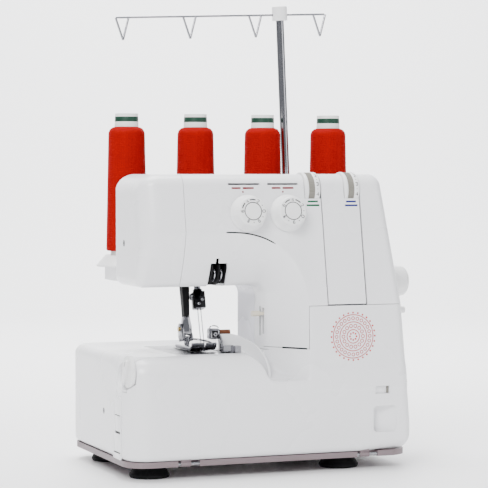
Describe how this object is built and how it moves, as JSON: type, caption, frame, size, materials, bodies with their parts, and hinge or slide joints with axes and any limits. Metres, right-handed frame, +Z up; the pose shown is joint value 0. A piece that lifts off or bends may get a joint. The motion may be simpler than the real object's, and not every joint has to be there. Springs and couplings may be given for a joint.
{
  "type": "serger overlock machine",
  "caption": "Thread-cutting overlock sewing machine: white shells on a cast frame, tension dials and wheels, swing-down looper cover, rear thread stand with cones and telescopic guide pole.",
  "frame": {"origin": "table level, under the middle of the machine seen from above, handwheel and thread stand included", "axes": "+X to the operator's right (handwheel side), +Y away from the operator (thread stand side), +Z up"},
  "size_m": [0.326, 0.203, 0.4666],
  "materials": {
    "white_shell": "smooth white moulded plastic with a soft gloss",
    "white_knob": "white moulded knobs and wheels",
    "base_plastic": "grey-mauve plastic chassis tray",
    "foot_rubber": "black moulded rubber",
    "cast_frame": "cast frame, plain",
    "bright_steel": "ground and polished steel",
    "dark_steel": "blackened steel",
    "chrome_part": "bright chrome plate",
    "dark_plastic": "black moulded plastic",
    "belt_rubber": "black ribbed belt",
    "motor_body": "painted motor can",
    "cream_plastic": "cream moulded plastic",
    "amber_plastic": "amber-brown moulded plastic",
    "red_thread": "red polyester sewing thread, cross wound",
    "cone_plastic": "white moulded cone core"
  },
  "bodies": {
    "machine": {"base_tray": "base_plastic", "rubber_feet": "foot_rubber", "frame_casting": "cast_frame", "bed_cover": "white_shell", "front_cover": "white_shell", "rear_cover": "white_shell", "face_cover": "white_shell", "thread_path_panel": "white_shell", "chip_guard": "white_shell", "cover_screws": "dark_steel", "needle_plate": "bright_steel", "drive_belt": "belt_rubber", "motor": "motor_body", "lower_knife": "chrome_part", "takeup_window": "dark_plastic", "tension_discs": "chrome_part", "power_inlet": "dark_plastic", "spool_stand": "white_shell", "spool_holders": "white_knob", "pole_lower": "chrome_part", "presser_spring": "bright_steel"},
    "shaft": {"main_shaft": "bright_steel", "handwheel": "white_knob", "shaft_pulley": "dark_plastic"},
    "motor_rotor": {"motor_pulley": "dark_plastic"},
    "needle_drive": {"needle_bar": "bright_steel", "needle_clamp": "dark_steel", "clamp_screws": "bright_steel", "needles": "bright_steel"},
    "presser": {"presser_bar": "dark_steel", "foot_shank": "chrome_part"},
    "foot": {"presser_foot": "chrome_part"},
    "lifter": {"foot_lifter": "cream_plastic"},
    "rear_feed": {"main_feed_dog": "dark_steel"},
    "front_feed": {"front_feed_dog": "dark_steel"},
    "upper_looper_arm": {"upper_looper": "bright_steel"},
    "lower_looper_arm": {"lower_looper": "bright_steel"},
    "knife_arm": {"upper_knife": "dark_steel"},
    "knife_release": {"knife_knob": "amber_plastic"},
    "takeup": {"takeup_lever": "chrome_part"},
    "left_dial": {"needle_dial_left": "white_knob"},
    "right_dial": {"needle_dial_right": "white_knob"},
    "upper_wheel": {"upper_looper_wheel": "white_knob"},
    "lower_wheel": {"lower_looper_wheel": "white_knob"},
    "stitch_knob": {"stitch_dial": "white_knob"},
    "latch": {"side_latch": "white_shell"},
    "set_button": {"length_button": "white_knob"},
    "switch": {"power_switch": "dark_plastic"},
    "cover_carriage": {"cover_hinge_pins": "bright_steel"},
    "cover": {"looper_cover": "white_shell"},
    "pole_top": {"pole_upper": "chrome_part", "pole_cap": "white_knob"},
    "cone_1": {"thread_cone_1": "red_thread", "cone_tube_1": "cone_plastic"},
    "cone_2": {"thread_cone_2": "red_thread", "cone_tube_2": "cone_plastic"},
    "cone_3": {"thread_cone_3": "red_thread", "cone_tube_3": "cone_plastic"},
    "cone_4": {"thread_cone_4": "red_thread", "cone_tube_4": "cone_plastic"}
  },
  "joints": [
    {"name": "handwheel_turn", "type": "hinge", "parent": "machine", "child": "shaft", "pos_m": [0.137, -0.0165, 0.18], "axis": [1, 0, 0], "continuous": true},
    {"name": "motor_turn", "type": "hinge", "parent": "machine", "child": "motor_rotor", "pos_m": [0.112, -0.0015, 0.062], "axis": [1, 0, 0], "continuous": true},
    {"name": "needle_stroke", "type": "slide", "parent": "machine", "child": "needle_drive", "axis": [0, 0.2756, 0.9613], "range_m": [0, 0.024]},
    {"name": "takeup_swing", "type": "hinge", "parent": "machine", "child": "takeup", "pos_m": [-0.063, -0.0375, 0.206], "axis": [1, 0, 0], "range_deg": [-7.2, 0]},
    {"name": "upper_looper_swing", "type": "hinge", "parent": "machine", "child": "upper_looper_arm", "pos_m": [-0.071, -0.0465, 0.058], "axis": [0, 1, 0], "range_deg": [-9.2, 0]},
    {"name": "lower_looper_swing", "type": "hinge", "parent": "machine", "child": "lower_looper_arm", "pos_m": [-0.031, -0.0358, 0.06], "axis": [0, 1, 0], "range_deg": [-10.2, 0]},
    {"name": "knife_stroke", "type": "slide", "parent": "machine", "child": "knife_arm", "axis": [0, 0, 1], "range_m": [0, 0.0051]},
    {"name": "rear_feed_travel", "type": "slide", "parent": "machine", "child": "rear_feed", "axis": [0, 1, 0], "range_m": [0, 0.0031]},
    {"name": "front_feed_travel", "type": "slide", "parent": "machine", "child": "front_feed", "axis": [0, 1, 0], "range_m": [0, 0.0026]},
    {"name": "lifter_turn", "type": "hinge", "parent": "machine", "child": "lifter", "pos_m": [-0.003, -0.0015, 0.15], "axis": [1, 0, 0], "range_deg": [0, 18.4]},
    {"name": "presser_lift", "type": "slide", "parent": "machine", "child": "presser", "axis": [0, 0.1392, 0.9903], "range_m": [0, 0.006], "deforming": ["presser_spring"]},
    {"name": "foot_tilt", "type": "hinge", "parent": "presser", "child": "foot", "pos_m": [-0.0785, -0.02495, 0.128], "axis": [1, 0, 0], "range_deg": [-3, 0]},
    {"name": "knife_release_pull", "type": "slide", "parent": "machine", "child": "knife_release", "axis": [1, 0, 0], "range_m": [0, 0.004]},
    {"name": "left_needle_tension", "type": "hinge", "parent": "machine", "child": "left_dial", "pos_m": [-0.037, -0.08363, 0.252], "axis": [0, -0.9848, 0.1736], "range_deg": [-135, 135]},
    {"name": "right_needle_tension", "type": "hinge", "parent": "machine", "child": "right_dial", "pos_m": [0.0045, -0.08363, 0.252], "axis": [0, -0.9848, 0.1736], "range_deg": [-135, 135]},
    {"name": "upper_looper_tension", "type": "hinge", "parent": "machine", "child": "upper_wheel", "pos_m": [0.0325, -0.065, 0.2745], "axis": [1, 0, 0], "range_deg": [-140, 140]},
    {"name": "lower_looper_tension", "type": "hinge", "parent": "machine", "child": "lower_wheel", "pos_m": [0.0745, -0.065, 0.2745], "axis": [1, 0, 0], "range_deg": [-140, 140]},
    {"name": "stitch_dial_turn", "type": "hinge", "parent": "machine", "child": "stitch_knob", "pos_m": [-0.157, -0.0825, 0.103], "axis": [-1, 0, 0], "range_deg": [-40, 90]},
    {"name": "side_latch_press", "type": "slide", "parent": "machine", "child": "latch", "axis": [0, 0, -1], "range_m": [0, 0.0018], "stiffness_N_per_m": 400},
    {"name": "length_button_press", "type": "slide", "parent": "machine", "child": "set_button", "axis": [-1, 0, 0], "range_m": [0, 0.006], "stiffness_N_per_m": 300},
    {"name": "power_rocker", "type": "hinge", "parent": "machine", "child": "switch", "pos_m": [0.128, 0.0185, 0.06], "axis": [0, 1, 0], "range_deg": [0, 12]},
    {"name": "cover_slide", "type": "slide", "parent": "machine", "child": "cover_carriage", "axis": [1, 0, 0], "range_m": [0, 0.008]},
    {"name": "cover_hinge", "type": "hinge", "parent": "cover_carriage", "child": "cover", "pos_m": [-0.013, -0.0963, 0.015], "axis": [1, 0, 0], "range_deg": [0, 90]},
    {"name": "pole_telescope", "type": "slide", "parent": "machine", "child": "pole_top", "axis": [-0.0419, 0, 0.9991], "range_m": [-0.06, 0]},
    {"name": "cone_1_lift_off", "type": "slide", "parent": "machine", "child": "cone_1", "axis": [0, 0, 1], "range_m": [0, 0.068]},
    {"name": "cone_2_lift_off", "type": "slide", "parent": "machine", "child": "cone_2", "axis": [0, 0, 1], "range_m": [0, 0.068]},
    {"name": "cone_3_lift_off", "type": "slide", "parent": "machine", "child": "cone_3", "axis": [0, 0, 1], "range_m": [0, 0.068]},
    {"name": "cone_4_lift_off", "type": "slide", "parent": "machine", "child": "cone_4", "axis": [0, 0, 1], "range_m": [0, 0.068]}
  ],
  "couplings": [
    {"joint": "motor_turn", "follows": "handwheel_turn", "ratio": 2.3333},
    {"joint": "takeup_swing", "follows": "needle_stroke", "rad_per_m": -5.0905},
    {"joint": "upper_looper_swing", "follows": "needle_stroke", "rad_per_m": -6.545},
    {"joint": "lower_looper_swing", "follows": "needle_stroke", "rad_per_m": -7.2722},
    {"joint": "knife_stroke", "follows": "needle_stroke", "ratio": 0.20833},
    {"joint": "rear_feed_travel", "follows": "needle_stroke", "ratio": 0.125},
    {"joint": "front_feed_travel", "follows": "needle_stroke", "ratio": 0.10417},
    {"joint": "lifter_turn", "follows": "presser_lift", "rad_per_m": 52.36}
  ]
}
